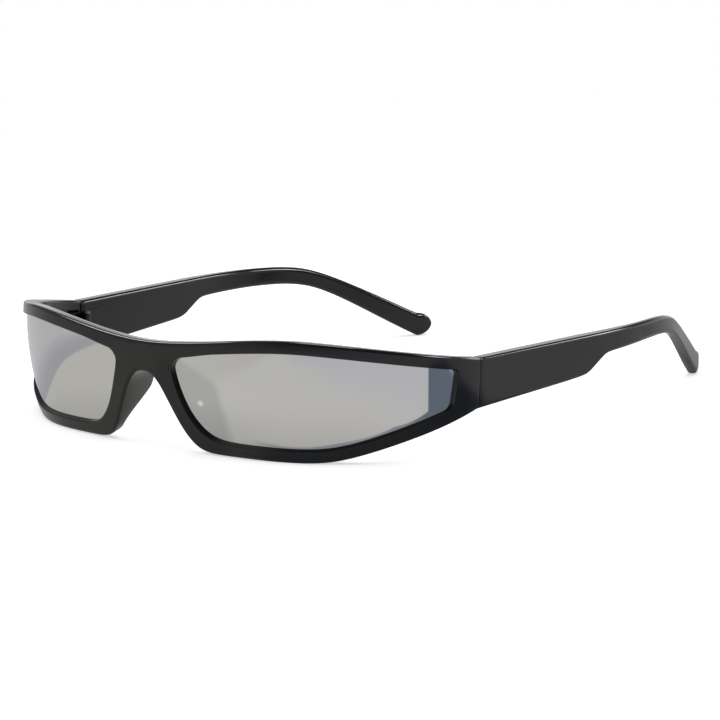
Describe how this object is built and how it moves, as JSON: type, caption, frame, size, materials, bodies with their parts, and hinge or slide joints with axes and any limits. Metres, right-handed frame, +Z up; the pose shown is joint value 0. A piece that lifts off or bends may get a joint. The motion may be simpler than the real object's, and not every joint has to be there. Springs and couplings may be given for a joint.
{
  "type": "sport sunglasses",
  "caption": "Wraparound sport sunglasses: one-piece gloss front with moulded nose pads, mirrored lenses in grooves and folding temples on barrel hinges.",
  "frame": {"origin": "on the ground under the middle of the whole object, temples open", "axes": "+Z up, +Y back along the temples away from the lenses, +X to the wearer's left"},
  "size_m": [0.147, 0.1784, 0.0317],
  "materials": {
    "front_plastic": "polished black",
    "temple_plastic": "polished black",
    "lens_mirror": "silver mirror coating on a grey tint",
    "hinge_metal": "satin nickel",
    "screw_metal": "bright nickel"
  },
  "bodies": {
    "front": {"front_frame": "front_plastic", "lens_left": "lens_mirror", "lens_right": "lens_mirror", "front_hinge_left": "hinge_metal", "front_hinge_right": "hinge_metal", "hinge_screw_left": "screw_metal", "hinge_screw_right": "screw_metal"},
    "left_arm": {"temple_left": "temple_plastic", "temple_hinge_left": "hinge_metal"},
    "right_arm": {"temple_right": "temple_plastic", "temple_hinge_right": "hinge_metal"}
  },
  "joints": [
    {"name": "left_fold", "type": "hinge", "parent": "front", "child": "left_arm", "pos_m": [0.06579, -0.0403, 0.0184], "axis": [0, 0, 1], "range_deg": [0, 90]},
    {"name": "right_fold", "type": "hinge", "parent": "front", "child": "right_arm", "pos_m": [-0.06579, -0.0403, 0.0184], "axis": [0, 0, -1], "range_deg": [0, 79]}
  ]
}
